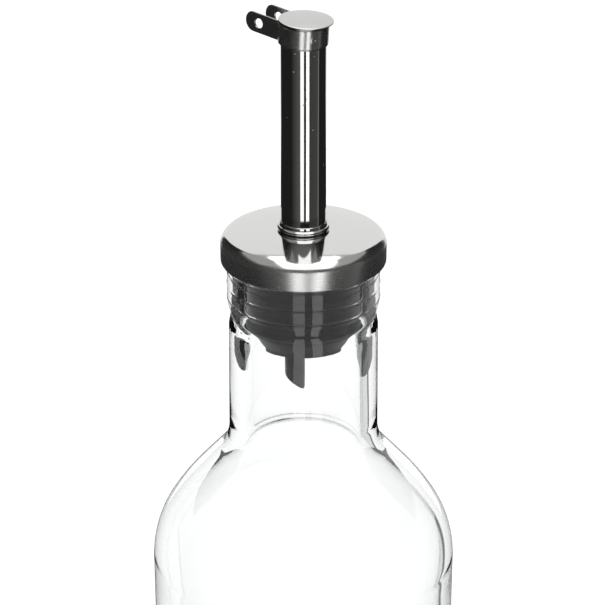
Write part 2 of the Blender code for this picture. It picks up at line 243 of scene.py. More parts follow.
through = add(tree, "ShaderNodeMix", {
    "Factor": path.outputs["Is Transmission Ray"], "A": room.outputs[0], "B": backdrop.outputs[0]})
sky = add(tree, "ShaderNodeBackground", {"Strength": through.outputs[0]})
add(tree, "ShaderNodeOutputWorld", {"Surface": sky.outputs[0]})

# The camera looks down on the pourer from the front, at the photograph's pitch and distance, with the
# bottle's body running out of the picture. The picture is a square of 605 pixels.
PICTURE_PIXELS = 605
FOCAL_PIXELS = 2302
PITCH = math.radians(24.8)
CAMERA_DISTANCE = 475.6 * MM
AIM_BELOW_DOME = 9.93 * MM
AIM_ASIDE = 0.2 * MM
SENSOR = 36.0
NEAREST = 10 * MM

eye = bpy.data.cameras.new("camera")
eye.sensor_width = SENSOR
eye.lens = FOCAL_PIXELS / PICTURE_PIXELS * SENSOR
eye.clip_start = NEAREST
camera = bpy.data.objects.new("camera", eye)
bpy.context.scene.collection.objects.link(camera)
camera.location = (-AIM_ASIDE, -CAMERA_DISTANCE * math.cos(PITCH),
                   DOME_EDGE - AIM_BELOW_DOME + CAMERA_DISTANCE * math.sin(PITCH))
camera.rotation_euler = (math.pi / 2 - PITCH, 0.0, 0.0)
bpy.context.scene.camera = camera
bpy.context.scene.view_settings.view_transform = "Standard"

# Bottle: clear soda-lime glass, blown in a two-part mould. The blown inside is a little uneven, the
# finish bead keeps the fine lines of the mould rings, and short knurls stand below its groove. Depths
# are measured down from the dome's edge.
bottle_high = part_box("bottle")[1]
BODY_RADIUS = bottle_high.x
LIP = bottle_high.z
LIP_CORNER = 0.9 * MM
BEAD_RADIUS = 15.75 * MM
BEAD_DEPTH = 8.6 * MM
BEAD_FOOT_RADIUS = 15.4 * MM
BEAD_FOOT_DEPTH = 10.2 * MM
GROOVE_RADIUS = 15.0 * MM
GROOVE_DEPTH = 11.8 * MM
NECK_TOP_RADIUS = 15.45 * MM
NECK_TOP_DEPTH = 14.2 * MM
NECK_TOP_LENGTH = 3.0 * MM
NECK_RADIUS = 15.65 * MM
NECK_LENGTH = 37.4 * MM
BORE_RADIUS = 12.25 * MM
BORE_CORNER = 0.5 * MM
FLARE_ROUND = 9.75 * MM
CROWN_ROUND = 57.0 * MM
EDGE_ROUND = 22.4 * MM
CONE_ANGLE = math.radians(41.3)
BREAK_ANGLE = math.radians(32.2)
BODY_WALL = 2.8 * MM
HEEL_ROUND = 5.0 * MM
INNER_HEEL_ROUND = 6.0 * MM
FOOT_RADIUS = 24.0 * MM
PUSH_UP = 2.5 * MM
FLOOR_THICKNESS = 6.0 * MM
FLOOR_CROWN = 2.0 * MM
BEAD_STEP = 0.1 * MM
BEAD_BLUR = 0.5 * MM
RING_LINE_DEPTHS = (1.0 * MM, 4.9 * MM, 7.9 * MM)
RING_LINE_HEIGHT = 0.1 * MM
RING_LINE_WIDTH = 0.16 * MM
KNURLS = 26
KNURL_DEPTH = 15.0 * MM
KNURL_HALF_LENGTH = 1.1 * MM
KNURL_HEIGHT = 0.03 * MM
KNURL_WIDTH = 0.3 * MM
WAVES = ((1.0, 2, 0.7, 35), (0.6, 5, 2.1, -60), (0.35, 9, 0.0, 110))
WAVE_HEIGHT = 0.1 * MM
WAVE_START, WAVE_START_FADE = 15 * MM, 20 * MM
WAVE_END_DEPTH, WAVE_END_FADE = 25 * MM, 8 * MM
GLASS_COLUMNS = 240
GLASS_TINT = "#FDFEFE"
GLASS_IOR = 1.52
RIPPLE_SIZE = 18.18 * MM
RIPPLE_HEIGHT = 0.4 * MM


def arc(centre, radius, start, end, count):
    """Points of a circle's arc as an array: centre plus radius times (cos, sin) of each angle, in degrees."""
    a = np.radians(np.linspace(start, end, count))
    return np.stack([centre[0] + radius * np.cos(a), centre[1] + radius * np.sin(a)], -1)


def shoulder_line(count):
    """Outside of the shoulder: an arc, a straight cone, a shallow arc and a tighter arc, all tangent.

    At an angle a from the vertical an arc of radius R widens by R(1 - cos a) and drops by R sin a.
    """
    flare = np.linspace(0.0, CONE_ANGLE, count)
    cone = (BODY_RADIUS - NECK_RADIUS - FLARE_ROUND * (1 - math.cos(CONE_ANGLE))
            - CROWN_ROUND * (math.cos(BREAK_ANGLE) - math.cos(CONE_ANGLE))
            - EDGE_ROUND * (1 - math.cos(BREAK_ANGLE))) / math.sin(CONE_ANGLE)
    crown = np.linspace(CONE_ANGLE, BREAK_ANGLE, count // 2)
    edge = np.linspace(BREAK_ANGLE, 0.0, count)
    r = NECK_RADIUS + FLARE_ROUND * (1 - np.cos(flare))
    z = DOME_EDGE - NECK_LENGTH - FLARE_ROUND * np.sin(flare)
    straight = np.linspace(0.0, cone, count // 2)[1:]
    r = np.append(r, r[-1] + straight * math.sin(CONE_ANGLE))
    z = np.append(z, z[-1] - straight * math.cos(CONE_ANGLE))
    r = np.append(r, r[-1] + CROWN_ROUND * (np.cos(crown[1:]) - math.cos(CONE_ANGLE)))
    z = np.append(z, z[-1] - CROWN_ROUND * (math.sin(CONE_ANGLE) - np.sin(crown[1:])))
    r = np.append(r, r[-1] + EDGE_ROUND * (np.cos(edge[1:]) - math.cos(BREAK_ANGLE)))
    z = np.append(z, z[-1] - EDGE_ROUND * (math.sin(BREAK_ANGLE) - np.sin(edge[1:])))
    return np.stack([r, z], -1)


def inset(line, wall_top, wall_bottom):
    """Moves a line inwards along its normals, by a wall that changes evenly down the line."""
    step = np.gradient(line, axis=0)
    step /= np.linalg.norm(step, axis=1)[:, None]
    wall = np.linspace(wall_top, wall_bottom, len(line))[:, None]
    return line + np.stack([step[:, 1], -step[:, 0]], -1) * wall


def bead_line():
    """Outside of the finish from under the lip's corner to the neck: straight between a few heights and
    smoothed by the bell exp(-(z / blur)^2), plus a small bell of that form at each mould ring's line."""
    z = np.arange(LIP - LIP_CORNER, DOME_EDGE - NECK_TOP_DEPTH - NECK_TOP_LENGTH, -BEAD_STEP)
    heights = DOME_EDGE - np.array([NECK_TOP_DEPTH, GROOVE_DEPTH, BEAD_FOOT_DEPTH, BEAD_DEPTH])
    r = np.interp(z, heights, [NECK_TOP_RADIUS, GROOVE_RADIUS, BEAD_FOOT_RADIUS, BEAD_RADIUS])
    reach = 12
    bell = np.exp(-(np.arange(-reach, reach + 1) * BEAD_STEP / BEAD_BLUR) ** 2)
    smooth = np.convolve(np.pad(r, reach, mode="edge"), bell / bell.sum(), mode="valid")
    for depth in RING_LINE_DEPTHS:
        smooth += RING_LINE_HEIGHT * np.exp(-((z - DOME_EDGE + depth) / RING_LINE_WIDTH) ** 2)
    return np.stack([smooth, z], -1)


def wall(radius, bottom, top, count):
    """Points up a straight wall, without its two ends."""
    return np.stack([np.full(count, radius), np.linspace(bottom, top, count + 2)[1:-1]], -1)


def turn(line, columns):
    """Turns a line of (radius, height) points about Z: x = r cos a, y = r sin a, z."""
    a = np.linspace(0.0, 2 * math.pi, columns, endpoint=False)
    r, z = line[:, :1], line[:, 1:]
    return np.stack([r * np.cos(a), r * np.sin(a), z + 0 * a], -1)


# The inside runs up from the middle of the floor, whose crown is a raised cosine, and the outside runs
# down from the lip to the middle of the push-up
shoulder = shoulder_line(28)
inner_shoulder = inset(shoulder, NECK_RADIUS - BORE_RADIUS, BODY_WALL)
inner_radius = BODY_RADIUS - BODY_WALL
floor_edge = FLOOR_THICKNESS - FLOOR_CROWN
flat = inner_radius - INNER_HEEL_ROUND
floor_r = np.linspace(0.0, flat, 12)[:-1]
floor_z = floor_edge + FLOOR_CROWN * (1 + np.cos(math.pi * floor_r / flat)) / 2
inner_heel = arc((flat, floor_edge + INNER_HEEL_ROUND), INNER_HEEL_ROUND, -90, 0, 14)
inside = np.concatenate([
    np.stack([floor_r, floor_z], -1), inner_heel,
    wall(inner_radius, inner_heel[-1, 1], inner_shoulder[-1, 1], 40), inner_shoulder[::-1],
    wall(BORE_RADIUS, inner_shoulder[0, 1], LIP - BORE_CORNER, 38)])
lip = np.concatenate([
    arc((BORE_RADIUS + BORE_CORNER, LIP - BORE_CORNER), BORE_CORNER, 180, 90, 6),
    arc((BEAD_RADIUS - LIP_CORNER, LIP - LIP_CORNER), LIP_CORNER, 90, 0, 8)])
foot_r = np.linspace(FOOT_RADIUS, 0.0, 14)
push_up = np.stack([foot_r, PUSH_UP * (1 - (foot_r / FOOT_RADIUS) ** 2) ** 1.5], -1)
outside = np.concatenate([
    bead_line()[1:], shoulder, wall(BODY_RADIUS, shoulder[-1, 1], HEEL_ROUND, 20),
    arc((BODY_RADIUS - HEEL_ROUND, HEEL_ROUND), HEEL_ROUND, 0, -90, 12), push_up])
points = turn(np.concatenate([inside, lip, outside]), GLASS_COLUMNS)

# The uneven inside is three slow waves: share, number round, phase and turn in radians for each metre
# up. They fade out at the floor and at the bore.
angle = np.linspace(0.0, 2 * math.pi, GLASS_COLUMNS, endpoint=False)
height = points[:len(inside), :, 2]
rising = np.clip((height - WAVE_START) / WAVE_START_FADE, 0, 1)
fading = np.clip((DOME_EDGE - WAVE_END_DEPTH - height) / WAVE_END_FADE, 0, 1)
wave = sum(share * np.sin(count * angle + phase + rise * height) for share, count, phase, rise in WAVES) / 2
points[:len(inside), :, :2] *= (1 + rising * fading * wave * WAVE_HEIGHT / inner_radius)[..., None]

# Each knurl is a bell across and a flat-topped bell along the neck
z = points[len(inside):, :, 2]
r = np.hypot(points[len(inside):, :, 0], points[len(inside):, :, 1])
spacing = 2 * math.pi / KNURLS
across = ((angle + spacing / 2) % spacing - spacing / 2) * NECK_TOP_RADIUS
along = (z - DOME_EDGE + KNURL_DEPTH) / KNURL_HALF_LENGTH
knurl = KNURL_HEIGHT * np.exp(-(across / KNURL_WIDTH) ** 2) * np.exp(-np.clip(along**8, 0, 50))
points[len(inside):, :, :2] *= (1 + knurl / np.maximum(r, MM))[..., None]
bottle = surface("bottle_glass", points, close_columns=True)

# Soda-lime glass: faint slow ripples from the mould bend what is seen through it
glass, tree = blank_material("soda_lime_glass_blown")
where = add(tree, "ShaderNodeTexCoord")
ripple = add(tree, "ShaderNodeTexNoise", {
    "Vector": where.outputs["Object"], "Scale": 1 / RIPPLE_SIZE, "Detail": 1.5, "Roughness": 0.4})
bump = add(tree, "ShaderNodeBump", {
    "Height": ripple.outputs["Fac"], "Strength": 0.12, "Distance": RIPPLE_HEIGHT})
shader = add(tree, "ShaderNodeBsdfPrincipled", {
    "Base Color": linear(GLASS_TINT), "Roughness": 0.0, "IOR": GLASS_IOR, "Transmission Weight": 1.0,
    "Normal": bump.outputs[0]})
add(tree, "ShaderNodeOutputMaterial", {"Surface": shader.outputs[0]})
bottle.data.materials.append(glass)
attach(bottle, "root")
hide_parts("bottle")

# Stopper: black synthetic rubber, moulded. A head lies on the lip under the dome, and the plug below it
# has sealing ribs and tapers to its tip, where the pouring channel and the breather's socket open.
stopper_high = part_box("stopper")[1]
HEAD_RADIUS = stopper_high.x
HEAD_TOP = stopper_high.z
HEAD_GAP = 0.3 * MM
HEAD_CORNER = 0.5 * MM
PLUG_RADIUS = 12.15 * MM
PLUG_TIP_RADIUS = 10.1 * MM
PLUG_DEPTH = 17.4 * MM
PLUG_RIBS = 4
RIB_DEPTH = 0.5 * MM
RIB_WIDENING = 0.35
PLAIN_FROM, PLAIN_BLEND = 0.8, 0.06
TIP_ROUND = 0.4 * MM
CHANNEL_RADIUS = 2.6 * MM
LEDGE_DEPTH = 9.3 * MM
SOCKET_RADIUS = 4.9 * MM
RUBBER_BLACK = "#101011"
RUBBER_GRAIN = 0.4 * MM
RUBBER_GRAIN_HEIGHT = 0.06 * MM
RUBBER_CLOUD = 4.545 * MM
head_low = LIP + HEAD_GAP
tip_low = DOME_EDGE - PLUG_DEPTH


def plug_line(count):
    """Outside of the plug: ribs as a raised cosine over its depth, on a radius that tapers with the
    fourth power of the depth, down to a plain tip."""
    depth = np.linspace(0.0, 1.0, count)
    taper = PLUG_RADIUS + (PLUG_TIP_RADIUS - PLUG_RADIUS) * depth**4
    ribs = np.clip(np.cos(2 * math.pi * (depth * (PLUG_RIBS + 0.5) - 0.5)) + RIB_WIDENING, 0, 1)
    plain = np.clip((depth - PLAIN_FROM) / PLAIN_BLEND, 0, 1)
    undercut = RIB_DEPTH * (1 - ribs) * (1 - plain)
    return np.stack([taper - undercut, head_low + (tip_low + TIP_ROUND - head_low) * depth], -1)


plug = plug_line(140)
stopper_line = np.concatenate([
    [[SOCKET_RADIUS, HEAD_TOP]],
    arc((HEAD_RADIUS - HEAD_CORNER, HEAD_TOP - HEAD_CORNER), HEAD_CORNER, 90, 0, 6),
    [[HEAD_RADIUS, head_low]], plug,
    arc((plug[-1, 0] - TIP_ROUND, tip_low + TIP_ROUND), TIP_ROUND, 0, -90, 6),
    [[CHANNEL_RADIUS, tip_low], [CHANNEL_RADIUS, DOME_EDGE - LEDGE_DEPTH],
     [SOCKET_RADIUS, DOME_EDGE - LEDGE_DEPTH]]])
stopper = surface("stopper_moulded", turn(stopper_line, 128), close_rows=True, close_columns=True)
stopper.data.set_sharp_from_angle(angle=math.radians(50))

# Black synthetic rubber: a fine even grain from the mould, drawn coarser than the real one, and a dull
# sheen that varies in soft clouds
rubber, tree = blank_material("synthetic_rubber_moulded_black")
where = add(tree, "ShaderNodeTexCoord")
grain = add(tree, "ShaderNodeTexNoise", {
    "Vector": where.outputs["Object"], "Scale": 1 / RUBBER_GRAIN, "Detail": 2.0})
clouds = add(tree, "ShaderNodeTexNoise", {
    "Vector": where.outputs["Object"], "Scale": 1 / RUBBER_CLOUD, "Detail": 3.0})
dull = add(tree, "ShaderNodeMapRange", {"Value": clouds.outputs["Fac"], "To Min": 0.3, "To Max": 0.5})
bump = add(tree, "ShaderNodeBump", {
    "Height": grain.outputs["Fac"], "Strength": 0.25, "Distance": RUBBER_GRAIN_HEIGHT})
shader = add(tree, "ShaderNodeBsdfPrincipled", {
    "Base Color": linear(RUBBER_BLACK), "Roughness": dull.outputs[0], "IOR": 1.52,
    "Specular IOR Level": 0.2, "Normal": bump.outputs[0]})
add(tree, "ShaderNodeOutputMaterial", {"Surface": shader.outputs[0]})
stopper.data.materials.append(rubber)
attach(stopper, "root")
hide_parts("stopper")

# Breather: a short black plastic tube pushed into the plug's tip beside the pouring channel. Its end is
# cut off at a slant, so that a drop doesn't close it.
breather_low, breather_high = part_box("breather_tube")
BREATHER_RADIUS = (breather_high.x - breather_low.x) / 2
BREATHER_BORE = 1.3 * MM
BREATHER_SLANT = math.radians(40)
BREATHER_RIM = 0.12 * MM
PLASTIC_BLACK = "#101011"
PLASTIC_LINE_WIDTH = 0.333 * MM
PLASTIC_LINE_HEIGHT = 0.05 * MM
LINE_SQUASH = 0.05
breather_x = (breather_high.x + breather_low.x) / 2
breather_y = (breather_high.y + breather_low.y) / 2

# Each point of the section is a radius and the share of the way down to the slanted end
section = np.array([[BREATHER_BORE, 0.0], [BREATHER_RADIUS - BREATHER_RIM, 0.0], [BREATHER_RADIUS, 0.05]]
                   + [[BREATHER_RADIUS, share] for share in (0.3, 0.6, 0.95)]
                   + [[BREATHER_RADIUS - BREATHER_RIM, 1.0], [BREATHER_BORE, 1.0], [BREATHER_BORE, 0.5]])
a = np.linspace(0.0, 2 * math.pi, 48, endpoint=False)
x, y = section[:, :1] * np.cos(a), section[:, :1] * np.sin(a)
end = breather_low.z + (BREATHER_RADIUS - x) * math.tan(BREATHER_SLANT)
tube_z = breather_high.z + (end - breather_high.z) * section[:, 1:]
breather = surface("breather_cut_tube", np.stack([x + breather_x, y + breather_y, tube_z], -1),
                   close_rows=True, close_columns=True)
breather.data.set_sharp_from_angle(angle=math.radians(40))

# Black polyethylene: extruded, with faint lines along its length and a waxy sheen
plastic, tree = blank_material("polyethylene_extruded_black")
where = add(tree, "ShaderNodeTexCoord")
squash = add(tree, "ShaderNodeMapping", {"Vector": where.outputs["Object"], "Scale": (1.0, 1.0, LINE_SQUASH)})
lines = add(tree, "ShaderNodeTexNoise", {
    "Vector": squash.outputs[0], "Scale": 1 / PLASTIC_LINE_WIDTH, "Detail": 2.0})
dull = add(tree, "ShaderNodeMapRange", {"Value": lines.outputs["Fac"], "To Min": 0.22, "To Max": 0.4})
bump = add(tree, "ShaderNodeBump", {
    "Height": lines.outputs["Fac"], "Strength": 0.2, "Distance": PLASTIC_LINE_HEIGHT})
shader = add(tree, "ShaderNodeBsdfPrincipled", {
    "Base Color": linear(PLASTIC_BLACK), "Roughness": dull.outputs[0], "IOR": 1.51,
    "Specular IOR Level": 0.25, "Normal": bump.outputs[0]})
add(tree, "ShaderNodeOutputMaterial", {"Surface": shader.outputs[0]})
breather.data.materials.append(plastic)
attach(breather, "root")
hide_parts("breather_tube")

# Dome: a disc of stainless sheet pressed to a shallow dome with a turned-down skirt, then polished. Its
# top is a mirror with fine marks from the wheel, and its skirt is left a little duller.
DOME_RADIUS = dome_high.x
DOME_SHEET = 0.6 * MM
DOME_HOLE = 4.65 * MM
DOME_SLOPE = math.radians(11)
SKIRT_HEIGHT = 3.7 * MM
SKIRT_ROUND = 2.2 * MM
SKIRT_DULL_LOW = 4.4 * MM
SKIRT_DULL_HIGH = 5.7 * MM
SKIRT_DULL = 0.2
STEEL_CLOUD = 7.143 * MM
MARK_HEIGHT = 0.03 * MM
DUST_SPACING = 2.381 * MM
DUST_CORE, DUST_EDGE = 0.05, 0.09
DUST_WHITE = "#E8E8E6"
DUST_ROUGHNESS = 0.7


def dome_line(radius, corner):
    """From the hole down to the edge: a cubic that meets the corner's arc at its slope, and the skirt.

    A cubic over a run R that ends at the slope s rises by R tan(s) / 3 to its middle.
    """
    run = radius - corner * (1 - math.sin(DOME_SLOPE))
    join = DOME_EDGE + SKIRT_HEIGHT + corner * math.cos(DOME_SLOPE)
    r = np.linspace(DOME_HOLE, run, 40)[:-1]
    top = np.stack([r, join + math.tan(DOME_SLOPE) * run / 3 * (1 - (r / run) ** 3)], -1)
    bend = arc((radius - corner, DOME_EDGE + SKIRT_HEIGHT), corner, 90 - math.degrees(DOME_SLOPE), 0, 20)
    return np.concatenate([top, bend])


def stainless(name, colour, low, high, marks_size, relief, dust, skirt=None):
    """Polished stainless steel: its roughness goes from low to high in soft clouds, with fine marks and
    specks of dust.

    The marks' size is given along X, Y and Z, and they lie along the longest of them. Real ones are
    finer, and these are as coarse as it takes to show. Relief is how strongly they tip the surface, and
    dust how strongly the specks show. Skirt is two heights and the roughness added in full under the
    first of them and not at all over the second.
    """
    made, tree = blank_material(name)
    where = add(tree, "ShaderNodeTexCoord")
    drawn = add(tree, "ShaderNodeMapping", {
        "Vector": where.outputs["Object"], "Scale": tuple(1 / size for size in marks_size)})
    marks = add(tree, "ShaderNodeTexNoise", {
        "Vector": drawn.outputs[0], "Scale": 1.0, "Detail": 4.0, "Roughness": 0.6})
    clouds = add(tree, "ShaderNodeTexNoise", {
        "Vector": where.outputs["Object"], "Scale": 1 / STEEL_CLOUD, "Detail": 3.0})
    both = add(tree, "ShaderNodeMath", {0: marks.outputs["Fac"], 1: clouds.outputs["Fac"]}, operation="ADD")
    sheen = add(tree, "ShaderNodeMapRange", {
        "Value": both.outputs[0], "From Min": 0.7, "From Max": 1.3, "To Min": low, "To Max": high})
    cells = add(tree, "ShaderNodeTexVoronoi", {
        "Vector": where.outputs["Object"], "Scale": 1 / DUST_SPACING})
    specks = add(tree, "ShaderNodeMapRange", {
        "Value": cells.outputs["Distance"], "From Min": DUST_CORE, "From Max": DUST_EDGE,
        "To Min": dust, "To Max": 0.0})
    satin = sheen
    if skirt:
        height = add(tree, "ShaderNodeSeparateXYZ", {0: where.outputs["Object"]})
        lower = add(tree, "ShaderNodeMapRange", {
            "Value": height.outputs["Z"], "From Min": skirt[0], "From Max": skirt[1],
            "To Min": skirt[2], "To Max": 0.0})
        satin = add(tree, "ShaderNodeMath", {0: sheen.outputs[0], 1: lower.outputs[0]}, operation="ADD")
    rough = add(tree, "ShaderNodeMix", {
        "Factor": specks.outputs[0], "A": satin.outputs[0], "B": DUST_ROUGHNESS})
    tint = add(tree, "ShaderNodeMix", {
        "Factor": specks.outputs[0], "A": linear(colour), "B": linear(DUST_WHITE)}, data_type="RGBA")
    bump = add(tree, "ShaderNodeBump", {
        "Height": marks.outputs["Fac"], "Strength": relief, "Distance": MARK_HEIGHT})
    shader = add(tree, "ShaderNodeBsdfPrincipled", {
        "Base Color": tint.outputs[2], "Metallic": 1.0, "Roughness": rough.outputs[0],
        "Normal": bump.outputs[0]})
    add(tree, "ShaderNodeOutputMaterial", {"Surface": shader.outputs[0]})
    return made


outer = dome_line(DOME_RADIUS, SKIRT_ROUND)
inner = dome_line(DOME_RADIUS - DOME_SHEET, SKIRT_ROUND - DOME_SHEET)
edge = arc((DOME_RADIUS - DOME_SHEET / 2, DOME_EDGE + DOME_SHEET / 2), DOME_SHEET / 2, 0, -180, 9)
dome = surface("dome_pressed", turn(np.concatenate([outer, edge, inner[::-1]]), 192),
               close_rows=True, close_columns=True)
dome.data.set_sharp_from_angle(angle=math.radians(60))
dome.data.materials.append(stainless(
    "stainless_pressed_polished", "#DBDBD9", 0.05, 0.1, (3.333 * MM, 3.333 * MM, 0.3333 * MM), 0.05, 0.3,
    (DOME_EDGE + SKIRT_DULL_LOW, DOME_EDGE + SKIRT_DULL_HIGH, SKIRT_DULL)))
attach(dome, "root")
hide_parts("dome")

# Ferrule: a ring of thin steel rolled over at its lower edge, pushed down over the tube on to the dome.
# It is bright from rolling, so that it shows thin sharp lines of light.
ferrule_low, ferrule_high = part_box("ferrule")
tube_low, tube_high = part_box("spout_tube")
TUBE_RADIUS = tube_high.x
FERRULE_RADIUS = ferrule_high.x
FERRULE_SUNK = 0.15 * MM
ROLL = 0.4 * MM
COLLAR = 0.22 * MM
COLLAR_FLARE = 0.1 * MM
ferrule_base = ferrule_low.z - FERRULE_SUNK

ferrule_line = np.concatenate([
    arc((TUBE_RADIUS + COLLAR / 2, ferrule_high.z - COLLAR / 2), COLLAR / 2, 180, 0, 8),
    arc((FERRULE_RADIUS - ROLL + COLLAR_FLARE, ferrule_base + 2.6 * ROLL), ROLL / 2, 200, 250, 4),
    arc((FERRULE_RADIUS - ROLL, ferrule_base + 1.2 * ROLL), ROLL, 70, -90, 16),
    [[TUBE_RADIUS, ferrule_base]]])
ferrule = surface("ferrule_rolled", turn(ferrule_line, 128), close_rows=True, close_columns=True)
ferrule.data.materials.append(stainless(
    "stainless_rolled_bright", "#D4D4D2", 0.05, 0.12, (2.5 * MM, 2.5 * MM, 0.5 * MM), 0.05, 0.1))
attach(ferrule, "root")
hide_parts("ferrule")

# Spout: a straight seamless steel tube, drawn, so that the faint marks on it run along its length. Its
# top is swaged down inside the cap's sleeve.
sleeve_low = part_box("cap_sleeve")[0]
TUBE_WALL = 0.5 * MM
SWAGE_RADIUS = 4.3 * MM
SWAGE_CORNER = 0.3 * MM
SWAGE_UP = 0.2 * MM
SWAGE_DRAW = 0.4 * MM
swage = sleeve_low.z + SWAGE_UP
tube_bore = TUBE_RADIUS - TUBE_WALL
swage_bore = SWAGE_RADIUS - TUBE_WALL

tube_line = np.concatenate([
    [[swage_bore, tube_high.z], [SWAGE_RADIUS, tube_high.z], [SWAGE_RADIUS, swage + SWAGE_CORNER]],
    arc((TUBE_RADIUS - SWAGE_CORNER, swage), SWAGE_CORNER, 90, 0, 6),
    np.stack([np.full(24, TUBE_RADIUS), np.linspace(swage - SWAGE_UP, tube_low.z, 24)], -1),
    [[tube_bore, tube_low.z], [tube_bore, swage], [swage_bore, swage + SWAGE_DRAW]]])
tube = surface("tube_drawn", turn(tube_line, 160), close_rows=True, close_columns=True)
tube.data.set_sharp_from_angle(angle=math.radians(50))
tube.data.materials.append(stainless(
    "stainless_drawn_tube", "#D2D2D0", 0.02, 0.07, (0.4 * MM, 0.4 * MM, 16.667 * MM), 0.04, 0.9))
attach(tube, "root")
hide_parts("spout_tube")

# Cap: a strip of thin steel bent round the tube's top, whose two ends stand out as hinge ears with round
# holes. Its lower edge is curled in, two small dimples are pressed into it to grip the tube, and the
# whole cap leans a little, across its ears. The bent strip is satin, so that it mirrors only softly.
SLEEVE_RADIUS = 5.05 * MM
SLEEVE_WALL = 0.45 * MM
SLEEVE_CURL = 0.6 * MM
SLEEVE_LOW = 46.1 * MM
SLEEVE_HIGH = 50.4 * MM
SLEEVE_EDGE = 0.12 * MM
SLEEVE_SLACK = 0.1 * MM
SLEEVE_SKIN = 0.2 * MM
EAR_AZIMUTH = math.radians(137.4)
EAR_SPACING = 5.7 * MM
EAR_SHEET = 0.35 * MM
EAR_HEIGHT = 4.1 * MM
EAR_REACH = 12.9 * MM
EAR_PLATE_OVERLAP = 2.2 * MM
EAR_FOLD_OVERLAP = 1.6 * MM
EAR_HOLE_REACH = 9.3 * MM
EAR_HOLE_RADIUS = 0.98 * MM
EAR_EDGE = 0.1 * MM
FOLD_RADIUS = 0.7 * MM
FOLD_LAP = 0.35
DIMPLES = ((math.radians(-66), 1.0), (math.radians(-137), 0.5))
DIMPLE_RADIUS = 0.42 * MM
DIMPLE_DEPTH = 0.03 * MM
DIMPLE_RISE = 2.3 * MM
CAP_LEAN = math.radians(3.5)
CAP_PIVOT = 48.0 * MM
ears_way = np.array([math.cos(EAR_AZIMUTH), math.sin(EAR_AZIMUTH)])
sleeve_top = DOME_EDGE + SLEEVE_HIGH
sleeve_base = DOME_EDGE + SLEEVE_LOW


def lean(grid):
    """Turns points about a level axis through the pivot, across the ears: with u the distance along the
    ears and h the height over the pivot, u' = u cos t - h sin t and h' = u sin t + h cos t."""
    u = grid[..., :2] @ ears_way
    h = grid[..., 2] - DOME_EDGE - CAP_PIVOT
    along = u * (math.cos(CAP_LEAN) - 1) - h * math.sin(CAP_LEAN)
    up = u * math.sin(CAP_LEAN) + h * (math.cos(CAP_LEAN) - 1)
    return grid + np.concatenate([along[..., None] * ears_way, up[..., None]], -1)


def dimple(away):
    """Depth of a dimple as a share, over the distance from its middle as a share of its radius: a bell
    with a narrower bell taken off at the rim, where the pressed sheet stands up."""
    return 1.6 * np.exp(-(away * 1.5) ** 2) - np.exp(-((away - 1.0) * 2.5) ** 2)


def ear_frame(along, off, up):
    """From distances along the ears, off to their side, and up, to places in the object's frame."""
    c, s = ears_way
    return lean(np.stack([along * c - off * s, along * s + off * c, up], -1))


def ear_plate(name, side):
    """A flat ear with a round end and a round hole, as a grid round the hole.

    Along each direction from the hole's centre the section runs from the hole's edge to the outline and
    back on the other side; small steps in from the edges round them off.
    """
    half = EAR_HEIGHT / 2
    a = np.linspace(0.0, 2 * math.pi, 96, endpoint=False)
    root = EAR_REACH - EAR_HEIGHT - EAR_PLATE_OVERLAP
    end = EAR_REACH - half - EAR_HOLE_REACH
    c, s = np.cos(a), np.sin(a)
    side_hit = half / np.maximum(np.abs(s), 1e-6)
    back_hit = (EAR_HOLE_REACH - root) / np.maximum(-c, 1e-6)
    round_hit = end * c + np.sqrt(np.maximum(half**2 - (end * s) ** 2, 0))
    beyond = side_hit * c > end
    out = np.where(beyond, round_hit, np.minimum(side_hit, np.where(c < 0, back_hit, 1e6)))
    hole = np.full_like(a, EAR_HOLE_RADIUS)
    middle = hole + (out - hole) * 0.5
    t, soft = EAR_SHEET / 2, EAR_EDGE
    steps = [(hole, t - soft), (hole + soft, t), (middle, t), (out - soft, t), (out, t - soft),
             (out, soft - t), (out - soft, -t), (middle, -t), (hole + soft, -t), (hole, soft - t)]
    along = np.stack([EAR_HOLE_REACH + reach * c for reach, _ in steps])
    up = np.stack([sleeve_top - half + reach * s for reach, _ in steps])
    off = np.stack([np.full_like(a, side * EAR_SPACING / 2 + t_off) for _, t_off in steps])
    return surface(name, ear_frame(along, off, up), close_rows=True, close_columns=True)


def ear_fold(name, side):
    """The strip between ear and sleeve: a rounded section carried along a path in plan, which leaves
    the ear straight, turns on the fold's radius and then follows the sleeve's circle."""
    mid = SLEEVE_RADIUS - EAR_SHEET / 2
    offset = EAR_SPACING / 2
    reach = mid + FOLD_RADIUS
    start = math.asin((offset + FOLD_RADIUS) / reach)
    centre = (reach * math.cos(start), reach * math.sin(start))
    leave = np.linspace(EAR_REACH - EAR_HEIGHT - EAR_FOLD_OVERLAP, centre[0], 6)
    bend_a = np.linspace(-math.pi / 2, -math.pi + start, 14)[1:]
    follow_a = np.linspace(start, start + FOLD_LAP, 6)[1:]
    path = np.concatenate([
        np.stack([leave, np.full(6, offset)], -1),
        centre + FOLD_RADIUS * np.stack([np.cos(bend_a), np.sin(bend_a)], -1),
        mid * np.stack([np.cos(follow_a), np.sin(follow_a)], -1)])
    step = np.gradient(path, axis=0)
    step /= np.linalg.norm(step, axis=1)[:, None]
    normal = np.stack([-step[:, 1], step[:, 0]], -1)
    t, h, soft = EAR_SHEET / 2, EAR_HEIGHT / 2, EAR_EDGE
    loop = np.array([[-t, -h + soft], [-t + soft, -h], [t - soft, -h], [t, -h + soft],
                     [t, h - soft], [t - soft, h], [-t + soft, h], [-t, h - soft]])
    plan = path[:, None, :] + normal[:, None, :] * loop[None, :, :1]
    up = sleeve_top - h + loop[None, :, 1] + 0 * plan[..., 0]
    grid = ear_frame(plan[..., 0], side * plan[..., 1], up)
    first, last = grid[:1].mean(1, keepdims=True), grid[-1:].mean(1, keepdims=True)
    whole = np.concatenate([np.repeat(first, 8, 1), grid, np.repeat(last, 8, 1)])
    return surface(name, whole, close_columns=True)


